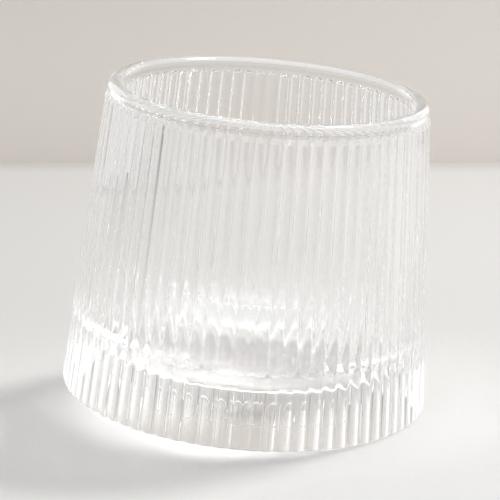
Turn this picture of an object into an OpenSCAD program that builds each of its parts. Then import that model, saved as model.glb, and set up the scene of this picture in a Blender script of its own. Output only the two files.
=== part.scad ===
// Ribbed rocks glass, pressed in clear glass, leaning on a shallow cone foot.
// Lengths are in millimetres. The glass is drawn upright about its own axis,
// with the base edge at height 0, and then leaned over to rest on the foot.

/* [Glass] */
// Outside diameter of the lip
rim_d = 82; // [76:0.5:90]
// Diameter over the ribs at the base edge
base_d = 95.5; // [92:0.5:102]
// Height from the base edge to the top of the lip
body_h = 80; // [72:1:95]
// Thickness of the rounded lip
lip_t = 3.7; // [3:0.1:4.5]
// Thickness of the wall between two ribs, at the inner floor
wall_t = 3.6; // [2.8:0.1:4.5]

/* [Ribs] */
// Ribs in each half of the mould
ribs_per_half = 39; // [30:1:40]
// Height of a rib above the wall
rib_h = 0.7; // [0.5:0.05:0.8]
// Radius of a rib's round back at its tip
rib_r_tip = 1.45; // [1.4:0.05:1.65]
// Radius of a rib's round back at the base edge
rib_r_base = 1.85; // [1.7:0.05:2.15]
// Distance from the top of the lip down to the tips of the ribs
rib_start = 3.6; // [3:0.1:8]
// Extra angle between the two ribs on each side of a mould seam
seam_gap = 0.4; // [0:0.1:1]

/* [Base] */
// Height above the base edge at which the rounded inside corner would reach a flat floor
sham_t = 10.5; // [9:0.1:16]
// Radius of the inside corner between floor and wall
corner_r = 12; // [6:0.5:14]
// How far the floor sinks from the corner to its middle
floor_dish = 5; // [1:0.5:6]
// Angle at which the foot lets the glass lean
lean = 5.5; // [3:0.25:8]
// Direction of the lean, counterclockwise from the X axis
lean_az = -30; // [-180:5:180]
// Radius of the small flat on the point of the foot
tip_r = 1.5; // [1:0.5:4]

/* [Hidden] */
glass_colour = [0.86, 0.89, 0.88, 0.45];
rib_colour = [0.93, 0.95, 0.95, 0.6];
$fn = 96;
// A hair's width, for faces that would otherwise just touch
hair = 0.03;
// Bare wall between the tips of the ribs and the collar
tip_gap = 0.1;
// Straight wall that the base keeps above its rounded inside corner
straight = 0.5;
// Steps in which the inside corner and the dished floor are drawn
corner_steps = 9;
floor_steps = 6;

// The rib crests lie on one straight cone from the base edge to the lip.
crest_slope = (base_d - rim_d) / 2 / body_h;
slope_angle = atan(crest_slope);
function crest_r(z) = base_d / 2 - crest_slope * z;
function core_r(z) = crest_r(z) - rib_h / cos(slope_angle);

// Heights of the faces at which the zones meet
lip_z = body_h - lip_t / 2;
tip_z = body_h - rib_start;
collar_z = tip_z + tip_gap;

// The hollow is a cone from the inner floor up to the inside of the lip.
floor_r = core_r(sham_t) - wall_t;
mouth_r = rim_d / 2 - lip_t;
hollow_slope = (floor_r - mouth_r) / (lip_z - sham_t);
hollow_angle = atan(hollow_slope);
function hollow_r(z) = floor_r - hollow_slope * (z - sham_t);

// The corner is an arc from the wall down to the floor, which sinks in a shallow bowl.
corner_z = sham_t + corner_r;
corner_x = hollow_r(corner_z) - corner_r / cos(hollow_angle);
corner_end = atan(2 * floor_dish / corner_x) - 90;
floor_edge_r = corner_x + corner_r * cos(corner_end);
floor_edge_z = corner_z + corner_r * sin(corner_end);
function floor_z(r) = floor_edge_z - floor_dish * (1 - pow(r / floor_edge_r, 2));
wall_z = corner_z + corner_r * sin(hollow_angle) + straight;

// The foot is a cone just steep enough for the lean.
foot_r = core_r(0);
foot_h = (foot_r - tip_r) * tan(lean);

// A rib is a tapered rod with a round end, sunk in the wall up to its round back.
// The end is a hair wider than the rod, so that the two meet in one clean edge.
rib_end_r = rib_r_tip + hair;
rib_bury = rib_r_tip - rib_h;
rib_end = tip_z / cos(slope_angle) - sqrt(rib_end_r * rib_end_r - rib_bury * rib_bury);
rib_len = rib_end + rib_h;
rib_taper = atan((rib_r_base - rib_r_tip) / rib_len);
rib_step = (180 - seam_gap) / ribs_per_half;

// How far the leaning glass reaches, for setting it over the origin
axis = [sin(lean) * cos(lean_az), sin(lean) * sin(lean_az), cos(lean)];
function side(k) = sqrt(1 - axis[k] * axis[k]);
function reach(k, way) = max(
    way * rib_h * axis[k] + crest_r(rib_h) * side(k),
    way * rib_end * axis[k] + crest_r(rib_end) * side(k),
    way * lip_z * axis[k] + (rim_d - lip_t) / 2 * side(k) + lip_t / 2
);
function middle(k) = (reach(k, 1) - reach(k, -1)) / 2;

module leaning() {
    translate([-middle(0), -middle(1), foot_r * sin(lean)])
        rotate(a = lean, v = [-sin(lean_az), cos(lean_az), 0])
            children();
}

// A round body between two heights, with straight slanted sides
module frustum(z_low, z_high, r_low, r_high) {
    translate([0, 0, z_low])
        cylinder(h = z_high - z_low, r1 = r_low, r2 = r_high);
}

// One rib, its crest along the Z axis and its back towards +X
module rib() {
    intersection() {
        union() {
            translate([-rib_r_base, 0, -rib_h])
                rotate([0, rib_taper, 0])
                    cylinder(h = rib_len, r1 = rib_r_base, r2 = rib_r_tip);
            translate([-rib_r_tip, 0, rib_end])
                sphere(r = rib_end_r);
        }
        // The flat inner side, and a bevel that runs out at the base edge
        rotate([90, 0, 0])
            linear_extrude(2 * rib_r_base, center = true)
                polygon([
                    [-rib_h, 0],
                    [rib_h, 2 * rib_h],
                    [rib_h, body_h],
                    [-rib_h, body_h]
                ]);
    }
}

// The dished floor, the rounded corner and the straight wall of the hollow
module hollow() {
    dish = [
        for (step = [0 : floor_steps - 1])
            let (r = floor_edge_r * step / floor_steps)
                [r, floor_z(r)]
    ];
    corner = [
        for (step = [0 : corner_steps])
            let (a = corner_end + (hollow_angle - corner_end) * step / corner_steps)
                [corner_x + corner_r * cos(a), corner_z + corner_r * sin(a)]
    ];
    rotate_extrude()
        polygon(concat(dish, corner, [[hollow_r(body_h), body_h], [0, body_h]]));
}

module lip_bead() {
    color(glass_colour)
        leaning()
            rotate_extrude()
                intersection() {
                    translate([(rim_d - lip_t) / 2, lip_z])
                        circle(d = lip_t);
                    translate([0, lip_z])
                        square([rim_d, lip_t]);
                }
}

module plain_collar() {
    color(glass_colour)
        leaning()
            difference() {
                frustum(collar_z, lip_z, core_r(collar_z), rim_d / 2);
                hollow();
            }
}

module wall() {
    color(glass_colour)
        leaning()
            difference() {
                frustum(wall_z, collar_z, core_r(wall_z), core_r(collar_z));
                hollow();
            }
}

module ribs() {
    color(rib_colour)
        leaning()
            for (half = [0, 1], i = [0 : ribs_per_half - 1])
                rotate([0, 0, -90 + half * 180 + seam_gap / 2 + (i + 0.5) * rib_step])
                    translate([base_d / 2, 0, 0])
                        rotate([0, -slope_angle, 0])
                            rib();
}

module sham_base() {
    color(glass_colour)
        leaning()
            difference() {
                frustum(0, wall_z, core_r(0), core_r(wall_z));
                hollow();
            }
}

module rocker_foot() {
    color(glass_colour)
        leaning()
            frustum(-foot_h, 0, tip_r, foot_r);
}

lip_bead();
plain_collar();
wall();
ribs();
sham_base();
rocker_foot();
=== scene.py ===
import math
import random

import bmesh
import bpy
from mathutils import Matrix, Vector, noise


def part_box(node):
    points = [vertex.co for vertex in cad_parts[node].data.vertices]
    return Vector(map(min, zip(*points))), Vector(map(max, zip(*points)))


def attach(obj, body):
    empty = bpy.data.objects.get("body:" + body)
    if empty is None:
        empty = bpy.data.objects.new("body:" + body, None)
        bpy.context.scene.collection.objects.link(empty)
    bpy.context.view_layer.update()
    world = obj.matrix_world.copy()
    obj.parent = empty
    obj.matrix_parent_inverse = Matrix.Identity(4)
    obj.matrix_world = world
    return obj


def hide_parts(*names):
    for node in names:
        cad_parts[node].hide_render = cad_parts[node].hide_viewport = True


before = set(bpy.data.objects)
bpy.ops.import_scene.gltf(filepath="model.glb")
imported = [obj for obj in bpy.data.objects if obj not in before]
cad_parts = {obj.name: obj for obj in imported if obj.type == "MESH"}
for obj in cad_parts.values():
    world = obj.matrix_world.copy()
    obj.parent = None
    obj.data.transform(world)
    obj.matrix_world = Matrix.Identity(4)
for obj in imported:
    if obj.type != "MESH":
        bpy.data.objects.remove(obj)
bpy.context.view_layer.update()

# Rocker foot: the underside of the glass, pressed as a very shallow cone with a
# rounded point. It is clear soda-lime glass, one with the base above it, and the
# whole glass leans over until one side of this cone lies on the table.
MM = 0.001
LEAN = math.radians(5.5)
LEAN_AZIMUTH = math.radians(-30)
RIM_R = 41.0
BASE_R = 47.75
BODY_H = 80.0
FOOT_EDGE_R = 46.9
TIP_ROUND_R = 10.0
TIP_ROWS = 10
MARK_R = 12.5
MARK_HALF = 0.6
MARK_DEEP = 0.1
MARK_ROWS = 4
MARK_APPROACH = 1.5
CONE_RADII = [45.6, 44.0, 40.0, 30.0, 20.0]

# The ribs run out over the edge of the foot, so their shape is needed from here on.
RIBS_PER_HALF = 39
RIB_SEGMENTS = 16
RIB_H = 0.7
RIB_TIP_R = 1.45
RIB_BASE_R = 1.85
RIB_START = 3.6
LOWEST_RIB = 0.94
HIGHEST_RIB = 1.04
RIB_BESIDE_SEAM = 0.82
VALLEY_FILLET = 0.5
EDGE_RIB_SHARE = 0.75
SEAM_GAP = math.radians(0.4)
SEAM_SEGMENTS = 4
SEAM_FIN_H = 0.05
RIB_STEP = (math.pi - SEAM_GAP) / RIBS_PER_HALF

scene = bpy.context.scene
foot_low, foot_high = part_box("rocker_foot")
base_centre = (Vector(foot_low) + Vector(foot_high)) / 2
base_centre.z = (BASE_R - RIB_H) * MM * math.sin(LEAN)
tilt_axis = Vector((-math.sin(LEAN_AZIMUTH), math.cos(LEAN_AZIMUTH), 0))
stand = Matrix.Translation(base_centre) @ Matrix.Rotation(LEAN, 4, tilt_axis)

# Every ring of the glass has the same columns, so that its zones meet point to point.
# A column knows its angle, its rib, how far it is across that rib and its share of
# the fine fin that the mould's parting line leaves.
columns = []
for half in range(2):
    half_start = -math.pi / 2 + half * math.pi + SEAM_GAP / 2
    first_rib = half * RIBS_PER_HALF
    for rib in range(RIBS_PER_HALF):
        for segment in range(RIB_SEGMENTS):
            along = segment / RIB_SEGMENTS
            angle = half_start + (rib + along) * RIB_STEP
            columns.append((angle, first_rib + rib, 2 * along - 1, 0.0))
    seam_start = half_start + RIBS_PER_HALF * RIB_STEP
    last_rib = first_rib + RIBS_PER_HALF - 1
    for segment in range(SEAM_SEGMENTS):
        along = segment / SEAM_SEGMENTS
        fin = math.sin(math.pi * along) ** 2
        columns.append((seam_start + along * SEAM_GAP, last_rib, 1.0, fin))

# No two ribs came out of the mould quite alike, and those beside a seam are lower.
dice = random.Random(11)
rib_heights = [RIB_H * dice.uniform(LOWEST_RIB, HIGHEST_RIB) for rib in range(2 * RIBS_PER_HALF)]
for rib in (0, RIBS_PER_HALF - 1, RIBS_PER_HALF, 2 * RIBS_PER_HALF - 1):
    rib_heights[rib] *= RIB_BESIDE_SEAM

crest_slope = (BASE_R - RIM_R) / BODY_H
tip_z = BODY_H - RIB_START
rib_end_z = tip_z - math.sqrt(RIB_TIP_R ** 2 - (RIB_TIP_R - RIB_H) ** 2)


def core_r(height):
    """The radius of the wall in the valleys between ribs."""
    return BASE_R - crest_slope * height - RIB_H


def rib_rise(column, height):
    """How far the rib's round back stands out over the valley at this column."""
    rib, across, fin = column[1:]
    taper = min(height / rib_end_z, 1.0)
    back_r = RIB_BASE_R + (RIB_TIP_R - RIB_BASE_R) * taper
    sideways = across * core_r(height) * RIB_STEP / 2
    beyond = max(height - rib_end_z, 0.0)
    inside = max(back_r ** 2 - sideways ** 2 - beyond ** 2, 0.0)
    arc = math.sqrt(inside) - back_r + rib_heights[rib]
    return (arc + math.hypot(arc, VALLEY_FILLET)) / 2 + SEAM_FIN_H * fin


def base_edge_ring():
    """The lowest edge of the glass, scalloped where the ribs run out over it."""
    ring = []
    for column in columns:
        radius = FOOT_EDGE_R + EDGE_RIB_SHARE * rib_rise(column, 0.0)
        ring.append((radius, (radius - FOOT_EDGE_R) * math.tan(LEAN)))
    return ring


def linear(hex_colour):
    """An sRGB hex colour as linear red, green, blue and alpha."""
    parts = [int(hex_colour[i:i + 2], 16) / 255 for i in (1, 3, 5)]
    return [c / 12.92 if c <= 0.04045 else ((c + 0.055) / 1.055) ** 2.4 for c in parts] + [1.0]


def add_node(material, kind, settings=None, links=None):
    """Adds a shader node. Sockets go by name or, where several share a name, by number."""
    tree = material.node_tree
    node = tree.nodes.new(kind)
    for key, value in (settings or {}).items():
        if isinstance(key, int) or key in node.inputs:
            node.inputs[key].default_value = value
        else:
            setattr(node, key, value)
    for key, source in (links or {}).items():
        tree.links.new(source, node.inputs[key])
    return node


def new_material(name):
    """A material without nodes."""
    material = bpy.data.materials.new(name)
    material.use_nodes = True
    material.node_tree.nodes.clear()
    return material


# Soda-lime glass, pressed in a mould and fire-polished: smooth, clear and almost without
# colour, with the faint ripple of glass that set against cool metal.
GLASS_COLOUR = "#FEFEFE"
GLASS_IOR = 1.52
RIPPLE_MM = 2.5
RIPPLE_DEEP = 0.1
RIPPLE_STRENGTH = 0.04
pressed_glass = new_material("pressed_soda_lime_glass")
ripple_place = add_node(pressed_glass, "ShaderNodeTexCoord")
ripple = add_node(
    pressed_glass,
    "ShaderNodeTexNoise",
    {"Scale": 1 / (RIPPLE_MM * MM), "Detail": 1.0},
    {"Vector": ripple_place.outputs["Object"]},
)
ripple_bump = add_node(
    pressed_glass,
    "ShaderNodeBump",
    {"Strength": RIPPLE_STRENGTH, "Distance": RIPPLE_DEEP * MM},
    {"Height": ripple.outputs["Fac"]},
)
glass_shader = add_node(
    pressed_glass,
    "ShaderNodeBsdfPrincipled",
    {
        "Base Color": linear(GLASS_COLOUR),
        "Roughness": 0.0,
        "IOR": GLASS_IOR,
        "Transmission Weight": 1.0,
    },
    {"Normal": ripple_bump.outputs["Normal"]},
)
add_node(pressed_glass, "ShaderNodeOutputMaterial", links={"Surface": glass_shader.outputs["BSDF"]})

# Where two zones of the glass meet there is no surface, so light passes straight on.
glass_joint = new_material("glass_running_through")
pass_through = add_node(glass_joint, "ShaderNodeBsdfTransparent")
add_node(glass_joint, "ShaderNodeOutputMaterial", links={"Surface": pass_through.outputs["BSDF"]})

# The two kinds of skin, as places in a zone's list of materials
SURFACE = 0
JOINT = 1


def pole(height):
    """A ring that has shrunk to one point on the axis."""
    return [(0.0, height)]


def level_ring(radius, height):
    """A plain round ring."""
    return [(radius, height)] * len(columns)


def glass_zone(name, bands, cad_nodes, closed=False, seeds=()):
    """Builds one zone from bands, each a ring and the kind of skin that follows it."""
    shell = bmesh.new()
    rings = []
    for points, skin in bands:
        ring = []
        for column, (radius, height) in zip(columns, points):
            angle = column[0]
            at = Vector((radius * math.cos(angle), radius * math.sin(angle), height)) * MM
            ring.append(shell.verts.new(stand @ at))
        rings.append((ring, skin))
    pairs = list(zip(rings, rings[1:] + rings[:1]))
    for (ring, skin), (other, other_skin) in pairs if closed else pairs[:-1]:
        count = max(len(ring), len(other))
        for here in range(count):
            beside = (here + 1) % count
            if len(ring) == 1:
                corners = [ring[0], other[here], other[beside]]
            elif len(other) == 1:
                corners = [ring[beside], ring[here], other[0]]
            else:
                corners = [ring[beside], ring[here], other[here], other[beside]]
            face = shell.faces.new(corners)
            face.smooth = True
            face.material_index = skin
    for edge in shell.edges:
        kinds = {face.material_index for face in edge.link_faces}
        edge.smooth = len(kinds) == 1
    for seed_matrix, seed_r in seeds:
        seed = bmesh.ops.create_icosphere(shell, subdivisions=2, radius=seed_r, matrix=seed_matrix)
        for face in {face for vert in seed["verts"] for face in vert.link_faces}:
            face.smooth = True
            face.normal_flip()
    mesh = bpy.data.meshes.new(name)
    shell.to_mesh(mesh)
    shell.free()
    mesh.materials.append(pressed_glass)
    mesh.materials.append(glass_joint)
    piece = bpy.data.objects.new(name, mesh)
    scene.collection.objects.link(piece)
    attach(piece, "root")
    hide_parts(*cad_nodes)


def foot_height(radius):
    """The cone's height at a radius, with its rounded point and the mould's ring mark."""
    slope = math.tan(LEAN)
    height = (radius - FOOT_EDGE_R) * slope
    if radius < TIP_ROUND_R:
        height += slope * (TIP_ROUND_R - radius) ** 2 / (2 * TIP_ROUND_R)
    if abs(radius - MARK_R) < MARK_HALF:
        height += MARK_DEEP * math.cos(math.pi / 2 * (radius - MARK_R) / MARK_HALF) ** 2
    return height


foot_radii = CONE_RADII + [MARK_R + MARK_HALF * MARK_APPROACH]
foot_radii += [MARK_R + MARK_HALF * row / MARK_ROWS for row in range(MARK_ROWS, -MARK_ROWS - 1, -1)]
foot_radii += [TIP_ROUND_R * row / TIP_ROWS for row in range(TIP_ROWS, 0, -1)]
foot_bands = [(pole(0.0), JOINT), (base_edge_ring(), SURFACE)]
for radius in foot_radii:
    foot_bands.append((level_ring(radius, foot_height(radius)), SURFACE))
foot_bands.append((pole(foot_height(0.0)), SURFACE))
glass_zone("glass_rocker_foot", foot_bands, ["rocker_foot"])

# Sham base: the thick bottom of the glass, solid and clear. The plunger that pressed it
# left a shallow bowl in its top, with a wide round corner up to the wall. The ribs run
# down over its side and round off at the base edge.
SHAM_T = 10.5
CORNER_R = 12.0
FLOOR_DISH = 5.0
STRAIGHT = 0.5
EDGE_H = 0.65
WALL_T = 3.6
LIP_T = 3.7
FLOOR_ROWS = 12
CORNER_ROWS = 16
SIDE_ROWS = 8
EDGE_ROWS = 6

# Both skins swell and shrink slowly, where the glass set unevenly. A swell has its full
# length at the radius given here, and each skin has a layer of the pattern to itself.
SWELL_LONG = 9.0
SWELL_H = 0.012
SWELL_R = 45.0
OUTER_LAYER = 0.0
INNER_LAYER = 40.0

lip_z = BODY_H - LIP_T / 2
floor_r = core_r(SHAM_T) - WALL_T
mouth_r = RIM_R - LIP_T
hollow_slope = (floor_r - mouth_r) / (lip_z - SHAM_T)


def slow_swell(column, height, layer):
    """How far a skin of the glass swells out or shrinks in at a place."""
    turn = SWELL_R / SWELL_LONG
    angle = column[0]
    at = Vector((turn * math.cos(angle), turn * math.sin(angle), height / SWELL_LONG + layer))
    return SWELL_H * noise.noise(at)


def hollow_r(height):
    """The radius of the smooth hollow."""
    return floor_r - hollow_slope * (height - SHAM_T)


def hollow_ring(height):
    """A ring of the smooth inside."""
    return [(hollow_r(height) + slow_swell(column, height, INNER_LAYER), height) for column in columns]


def ribbed_ring(height):
    """A ring of the ribbed outside."""
    ring = []
    for column in columns:
        radius = core_r(height) + rib_rise(column, height) + slow_swell(column, height, OUTER_LAYER)
        ring.append((radius, height))
    return ring


def rounded_edge_ring(turn):
    """A ring of the rounding between the ribbed side and the base edge."""
    ring = []
    for (top_r, top_z), (low_r, low_z) in zip(ribbed_ring(EDGE_H), base_edge_ring()):
        radius = low_r + (top_r - low_r) * math.cos(turn)
        ring.append((radius, top_z + (low_z - top_z) * math.sin(turn)))
    return ring


corner_z = SHAM_T + CORNER_R
corner_lean = math.atan(hollow_slope)
corner_x = hollow_r(corner_z) - CORNER_R / math.cos(corner_lean)
corner_end = math.atan(2 * FLOOR_DISH / corner_x) - math.pi / 2
floor_edge_r = corner_x + CORNER_R * math.cos(corner_end)
floor_edge_z = corner_z + CORNER_R * math.sin(corner_end)
wall_z = corner_z + CORNER_R * math.sin(corner_lean) + STRAIGHT


def floor_z(radius):
    """The height of the inner floor, which sinks towards its middle."""
    return floor_edge_z - FLOOR_DISH * (1 - (radius / floor_edge_r) ** 2)


def spaced(start, end, count):
    """Even steps from the start, without the end itself."""
    return [start + (end - start) * step / count for step in range(count)]


sham_bands = [(pole(floor_z(0.0)), SURFACE)]
for row in range(1, FLOOR_ROWS):
    radius = floor_edge_r * row / FLOOR_ROWS
    sham_bands.append((level_ring(radius, floor_z(radius)), SURFACE))
for turn in spaced(corner_end, corner_lean, CORNER_ROWS) + [corner_lean]:
    radius = corner_x + CORNER_R * math.cos(turn)
    sham_bands.append((level_ring(radius, corner_z + CORNER_R * math.sin(turn)), SURFACE))
sham_bands.append((hollow_ring(wall_z), JOINT))
sham_bands += [(ribbed_ring(z), SURFACE) for z in spaced(wall_z, EDGE_H, SIDE_ROWS)]
sham_bands += [(rounded_edge_ring(turn), SURFACE) for turn in spaced(0.0, math.pi / 2, EDGE_ROWS)]
sham_bands.append((base_edge_ring(), JOINT))
sham_bands.append((pole(0.0), JOINT))
glass_zone("glass_sham_base", sham_bands, ["sham_base", "ribs"])

# Ribbed wall: the wall of the hollow, of the same glass, smooth inside where the plunger
# was and ribbed outside by the mould. Each rib ends in a round finger tip under the
# collar, and a few seeds, the small bubbles that stay in pressed glass, are caught in it.
TIP_GAP = 0.1
FINGER_BELOW = 0.5
FINGER_ROWS = 12
WALL_ROWS = 14
SEED_STRETCH = 1.6
collar_z = tip_z + TIP_GAP
finger_z = rib_end_z - FINGER_BELOW
wall_bands = [(hollow_ring(z), SURFACE) for z in spaced(wall_z, collar_z, WALL_ROWS)]
wall_bands.append((hollow_ring(collar_z), JOINT))
wall_bands += [(ribbed_ring(z), SURFACE) for z in spaced(collar_z, finger_z, FINGER_ROWS)]
wall_bands += [(ribbed_ring(z), SURFACE) for z in spaced(finger_z, wall_z, WALL_ROWS)]
wall_bands.append((ribbed_ring(wall_z), JOINT))

# Each seed has its angle in degrees, its height and its radius.
SEEDS = [
    (-128, 70, 0.22),
    (-121, 66, 0.2),
    (-121, 62, 0.16),
    (-129, 59, 0.2),
    (-99, 34, 0.18),
    (-60, 48, 0.15),
]
stretch = Matrix.Diagonal((1.0, 1.0, SEED_STRETCH, 1.0))
seeds = []
for degrees, height, radius in SEEDS:
    angle = math.radians(degrees)
    middle_r = core_r(height) - WALL_T / 2
    at = Vector((middle_r * math.cos(angle), middle_r * math.sin(angle), height)) * MM
    seeds.append((Matrix.Translation(stand @ at) @ stretch, radius * MM))
glass_zone("glass_ribbed_wall", wall_bands, ["wall", "ribs"], closed=True, seeds=seeds)

# Plain collar: the smooth band of glass between the finger tips of the ribs and the lip.
# The mould left it plain, and it swells gently outwards to meet the lip.
COLLAR_ROWS = 6


def collar_ring(height):
    """A ring of the collar's outside, on a smooth curve from the wall to the lip."""
    along = (height - collar_z) / (lip_z - collar_z)
    swell = along * along * (3 - 2 * along)
    start = core_r(collar_z) - crest_slope * (height - collar_z) * (1 - along)
    plain_r = start + (RIM_R - start) * swell
    ring = []
    for column in columns:
        last_of_rib = rib_rise(column, collar_z) + slow_swell(column, collar_z, OUTER_LAYER)
        ring.append((plain_r + last_of_rib * (1 - along) ** 2, height))
    return ring


collar_bands = [(hollow_ring(collar_z), SURFACE), (level_ring(mouth_r, lip_z), JOINT)]
collar_bands += [(collar_ring(z), SURFACE) for z in spaced(lip_z, collar_z, COLLAR_ROWS)]
collar_bands.append((collar_ring(collar_z), JOINT))
glass_zone("glass_plain_collar", collar_bands, ["plain_collar"], closed=True)

# Lip bead: the drinking edge, of the same glass as the collar that it grows out of. After
# pressing, a flame melted its sharp edge round and smooth.
LIP_ROWS = 24
lip_bands = []
for turn in spaced(math.pi, 0.0, LIP_ROWS):
    radius = RIM_R - LIP_T / 2 + LIP_T / 2 * math.cos(turn)
    lip_bands.append((level_ring(radius, lip_z + LIP_T / 2 * math.sin(turn)), SURFACE))
lip_bands.append((level_ring(RIM_R, lip_z), JOINT))
glass_zone("glass_lip_bead", lip_bands, ["lip_bead"], closed=True)

# Camera: the photograph's own place, a long lens that looks down on the glass a little.
# Its place is counted in millimetres from the middle of the base, as the camera sees it.
CAMERA_PITCH = math.radians(13.5)
CAMERA_LENS = 151.8
CAMERA_SENSOR = 36.0
CAMERA_AWAY = 557.6
CAMERA_ABOVE = 35.48
CAMERA_RIGHT = 1.725
camera_data = bpy.data.cameras.new("camera")
camera_data.lens = CAMERA_LENS
camera_data.sensor_width = CAMERA_SENSOR
camera = bpy.data.objects.new("camera", camera_data)
scene.collection.objects.link(camera)
look = Vector((0, math.cos(CAMERA_PITCH), -math.sin(CAMERA_PITCH)))
look_up = Vector((0, math.sin(CAMERA_PITCH), math.cos(CAMERA_PITCH)))
camera_place = Vector((CAMERA_RIGHT, 0, 0)) + look_up * CAMERA_ABOVE - look * CAMERA_AWAY
camera.location = base_centre + camera_place * MM
camera.rotation_euler = (math.pi / 2 - CAMERA_PITCH, 0, 0)
scene.camera = camera

# Stage: a pale table top and, behind it, a narrow wall in warm grey. The line where they
# meet is far out of focus, so the two paints run into each other there, and the table is
# painted darker there as painted shade. The wall is clear from behind, so that the glass
# can be looked at from there too. Lengths are in metres.
STAGE_HALF = 1.6
WALL_Y = 0.325
WALL_TOP = 0.35
WALL_HALF = 0.14

# A colour mix shares the names of its sockets with other mixes, so they go by number.
MIX_A = 6
MIX_B = 7
MIX_RESULT = 2


def painted_sheet(name, corners, paint):
    """A flat sheet of the stage."""
    mesh = bpy.data.meshes.new(name)
    mesh.from_pydata(corners, [], [(0, 1, 2, 3)])
    mesh.materials.append(paint)
    sheet = bpy.data.objects.new(name, mesh)
    scene.collection.objects.link(sheet)
    return sheet


# Matt paint, rolled on the table: without gloss. It is painted paler in front of the glass
# and to both sides of it, as painted light, and darker just before the wall, as painted shade.
TABLE_NEAR_PAINTED_LIGHT_COLOUR = "#E1E0DF"
TABLE_COLOUR = "#D2D0CE"
TABLE_LEFT_PAINTED_LIGHT_COLOUR = "#E6E4E2"
TABLE_RIGHT_PAINTED_LIGHT_COLOUR = "#D9D7D5"
TABLE_END_PAINTED_SHADE_COLOUR = "#C4C1BD"
FRONT_LIGHT_FADE = 0.1
SIDE_LIGHT_START = 0.1
WALL_FOOT_SHADE_WIDTH = 0.022
table_paint = new_material("pale_table_paint")
table_place = add_node(table_paint, "ShaderNodeTexCoord")
table_axes = add_node(
    table_paint,
    "ShaderNodeSeparateXYZ",
    links={"Vector": table_place.outputs["Object"]},
)
# Painted light: the table is paler in front of the glass and fades to its own colour behind.
painted_front_light_fade = add_node(
    table_paint,
    "ShaderNodeMapRange",
    {"From Min": -FRONT_LIGHT_FADE, "From Max": FRONT_LIGHT_FADE, "interpolation_type": "SMOOTHSTEP"},
    {"Value": table_axes.outputs["Y"]},
)
table_tone_with_painted_light_and_shade = add_node(
    table_paint,
    "ShaderNodeMix",
    {"data_type": "RGBA", MIX_A: linear(TABLE_NEAR_PAINTED_LIGHT_COLOUR), MIX_B: linear(TABLE_COLOUR)},
    {"Factor": painted_front_light_fade.outputs["Result"]},
)
# Painted light: the table is painted paler to the left and to the right of the glass.
for way, side_light_colour in ((-1, TABLE_LEFT_PAINTED_LIGHT_COLOUR), (1, TABLE_RIGHT_PAINTED_LIGHT_COLOUR)):
    painted_side_light_fade = add_node(
        table_paint,
        "ShaderNodeMapRange",
        {
            "From Min": way * SIDE_LIGHT_START,
            "From Max": 2 * way * SIDE_LIGHT_START,
            "interpolation_type": "SMOOTHSTEP",
        },
        {"Value": table_axes.outputs["X"]},
    )
    table_tone_with_painted_light_and_shade = add_node(
        table_paint,
        "ShaderNodeMix",
        {"data_type": "RGBA", MIX_B: linear(side_light_colour)},
        {"Factor": painted_side_light_fade.outputs["Result"], MIX_A: table_tone_with_painted_light_and_shade.outputs[MIX_RESULT]},
    )
# Painted shade: the table darkens just before the wall, where the two paints run together.
painted_wall_foot_shade = add_node(
    table_paint,
    "ShaderNodeMapRange",
    {"From Min": WALL_Y - WALL_FOOT_SHADE_WIDTH, "From Max": WALL_Y, "interpolation_type": "SMOOTHSTEP"},
    {"Value": table_axes.outputs["Y"]},
)
table_tone_with_painted_light_and_shade = add_node(
    table_paint,
    "ShaderNodeMix",
    {"data_type": "RGBA", MIX_B: linear(TABLE_END_PAINTED_SHADE_COLOUR)},
    {"Factor": painted_wall_foot_shade.outputs["Result"], MIX_A: table_tone_with_painted_light_and_shade.outputs[MIX_RESULT]},
)
table_shader = add_node(
    table_paint,
    "ShaderNodeBsdfDiffuse",
    links={"Color": table_tone_with_painted_light_and_shade.outputs[MIX_RESULT]},
)
add_node(table_paint, "ShaderNodeOutputMaterial", links={"Surface": table_shader.outputs["BSDF"]})
table_corners = [
    (-STAGE_HALF, -STAGE_HALF, 0),
    (STAGE_HALF, -STAGE_HALF, 0),
    (STAGE_HALF, WALL_Y, 0),
    (-STAGE_HALF, WALL_Y, 0),
]
painted_sheet("table_top", table_corners, table_paint)

# Matt paint, rolled on the wall: warm grey without gloss. Above the picture, where only the
# glass shows it, the wall is painted darker, as painted shade. Light that comes from behind
# the wall passes through it.
WALL_END_COLOUR = "#EFEAE5"
WALL_FOOT_COLOUR = "#EFEAE4"
WALL_TOP_PAINTED_SHADE_COLOUR = "#C4C1BD"
WALL_BLUR = 0.0045
WALL_SHADE_START = 0.03
WALL_SHADE_FULL = 0.2
wall_paint = new_material("warm_grey_wall_paint")
wall_place = add_node(wall_paint, "ShaderNodeTexCoord")
wall_axes = add_node(
    wall_paint,
    "ShaderNodeSeparateXYZ",
    links={"Vector": wall_place.outputs["Object"]},
)
# Painted shade: the wall is painted darker upwards, above the picture.
painted_wall_top_shade = add_node(
    wall_paint,
    "ShaderNodeMapRange",
    {"From Min": WALL_SHADE_START, "From Max": WALL_SHADE_FULL, "interpolation_type": "SMOOTHSTEP"},
    {"Value": wall_axes.outputs["Z"]},
)
wall_tone_with_painted_shade = add_node(
    wall_paint,
    "ShaderNodeMix",
    {"data_type": "RGBA", MIX_A: linear(WALL_FOOT_COLOUR), MIX_B: linear(WALL_TOP_PAINTED_SHADE_COLOUR)},
    {"Factor": painted_wall_top_shade.outputs["Result"]},
)
wall_end = add_node(
    wall_paint,
    "ShaderNodeMapRange",
    {"From Min": 0.0, "From Max": WALL_BLUR, "interpolation_type": "SMOOTHSTEP"},
    {"Value": wall_axes.outputs["Z"]},
)
wall_tone_with_painted_shade = add_node(
    wall_paint,
    "ShaderNodeMix",
    {"data_type": "RGBA", MIX_A: linear(WALL_END_COLOUR)},
    {"Factor": wall_end.outputs["Result"], MIX_B: wall_tone_with_painted_shade.outputs[MIX_RESULT]},
)
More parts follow.
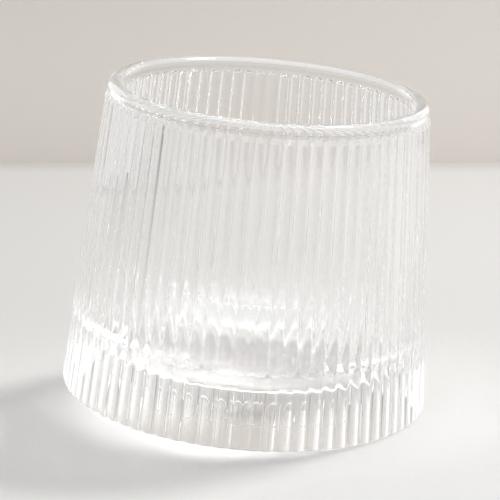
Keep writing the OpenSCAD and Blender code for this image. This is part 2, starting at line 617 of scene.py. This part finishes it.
wall_front = add_node(
    wall_paint,
    "ShaderNodeBsdfDiffuse",
    links={"Color": wall_tone_with_painted_shade.outputs[MIX_RESULT]},
)
wall_back = add_node(wall_paint, "ShaderNodeBsdfTransparent")
wall_side = add_node(wall_paint, "ShaderNodeNewGeometry")
wall_shader = add_node(
    wall_paint,
    "ShaderNodeMixShader",
    links={
        "Fac": wall_side.outputs["Backfacing"],
        1: wall_front.outputs["BSDF"],
        2: wall_back.outputs["BSDF"],
    },
)
add_node(wall_paint, "ShaderNodeOutputMaterial", links={"Surface": wall_shader.outputs["Shader"]})
wall_corners = [
    (-WALL_HALF, WALL_Y, 0),
    (WALL_HALF, WALL_Y, 0),
    (WALL_HALF, WALL_Y, WALL_TOP),
    (-WALL_HALF, WALL_Y, WALL_TOP),
]
back_wall = painted_sheet("back_wall", wall_corners, wall_paint)
back_wall.visible_shadow = False

# Light: a small window high to the right throws the shadow, and a wide soft box hangs
# overhead. A box beyond each side of the wall gives the ribs their white lines, and a
# pale room lies all round. Lengths are in metres.
KEY_AZIMUTH = math.radians(28)
KEY_RISE = math.radians(63)
KEY_AWAY = 0.65
KEY_SIDE = 0.1
KEY_WATTS = 1.85
BOX_AZIMUTH = math.radians(20)
BOX_RISE = math.radians(80)
BOX_AWAY = 0.95
BOX_SIDE = 1.0
BOX_WATTS = 3.4
SIDE_RISE = math.radians(20)
SIDE_AWAY = 0.9
SIDE_SIDE = 0.5
LEFT_AZIMUTH = math.radians(128)
LEFT_WATTS = 0.66
RIGHT_AZIMUTH = math.radians(52)
RIGHT_WATTS = 0.56


def add_lamp(name, azimuth, rise, away, side, watts):
    """A square lamp that looks at the glass from a direction and a distance."""
    lamp_data = bpy.data.lights.new(name, "AREA")
    lamp_data.shape = "SQUARE"
    lamp_data.size = side
    lamp_data.energy = watts
    lamp = bpy.data.objects.new(name, lamp_data)
    scene.collection.objects.link(lamp)
    level = math.cos(rise)
    way = Vector((level * math.cos(azimuth), level * math.sin(azimuth), math.sin(rise)))
    lamp.location = way * away
    lamp.rotation_euler = way.to_track_quat("Z", "Y").to_euler()
    lamp.visible_camera = False


add_lamp("window", KEY_AZIMUTH, KEY_RISE, KEY_AWAY, KEY_SIDE, KEY_WATTS)
add_lamp("soft_box", BOX_AZIMUTH, BOX_RISE, BOX_AWAY, BOX_SIDE, BOX_WATTS)
add_lamp("left_box", LEFT_AZIMUTH, SIDE_RISE, SIDE_AWAY, SIDE_SIDE, LEFT_WATTS)
add_lamp("right_box", RIGHT_AZIMUTH, SIDE_RISE, SIDE_AWAY, SIDE_SIDE, RIGHT_WATTS)

# The room shows bright to the camera and in the glass. It lights the table less than
# that, also through the glass, so that the table's colours render about as written.
ROOM_COLOUR = "#F6F6F5"
ROOM_LIGHT = 0.48
ROOM_SEEN = 0.87
room = bpy.data.worlds.new("pale_room")
room.use_nodes = True
room.node_tree.nodes.clear()
room_ray = add_node(room, "ShaderNodeLightPath")
room_mirrored = add_node(
    room,
    "ShaderNodeMath",
    {"operation": "MAXIMUM"},
    {0: room_ray.outputs["Is Camera Ray"], 1: room_ray.outputs["Is Glossy Ray"]},
)
room_seen = add_node(
    room,
    "ShaderNodeMath",
    {"operation": "MAXIMUM"},
    {0: room_mirrored.outputs["Value"], 1: room_ray.outputs["Is Transmission Ray"]},
)
room_not_lighting = add_node(
    room,
    "ShaderNodeMath",
    {"operation": "SUBTRACT"},
    {0: room_seen.outputs["Value"], 1: room_ray.outputs["Diffuse Depth"]},
)
room_level = add_node(
    room,
    "ShaderNodeMapRange",
    {"To Min": ROOM_LIGHT, "To Max": ROOM_SEEN},
    {"Value": room_not_lighting.outputs["Value"]},
)
room_light = add_node(
    room,
    "ShaderNodeBackground",
    {"Color": linear(ROOM_COLOUR)},
    {"Strength": room_level.outputs["Result"]},
)
add_node(room, "ShaderNodeOutputWorld", links={"Surface": room_light.outputs["Background"]})
scene.world = room

# Light crosses many skins of clear glass on its way, so it may turn often and isn't
# clamped or blurred, and it may pass many places where two zones meet.
GLASS_TURNS = 40
JOINT_CROSSINGS = 64
scene.view_settings.view_transform = "Standard"
scene.cycles.max_bounces = GLASS_TURNS
scene.cycles.transmission_bounces = GLASS_TURNS
scene.cycles.glossy_bounces = GLASS_TURNS
scene.cycles.transparent_max_bounces = JOINT_CROSSINGS
scene.cycles.sample_clamp_indirect = 0.0
scene.cycles.blur_glossy = 0.0
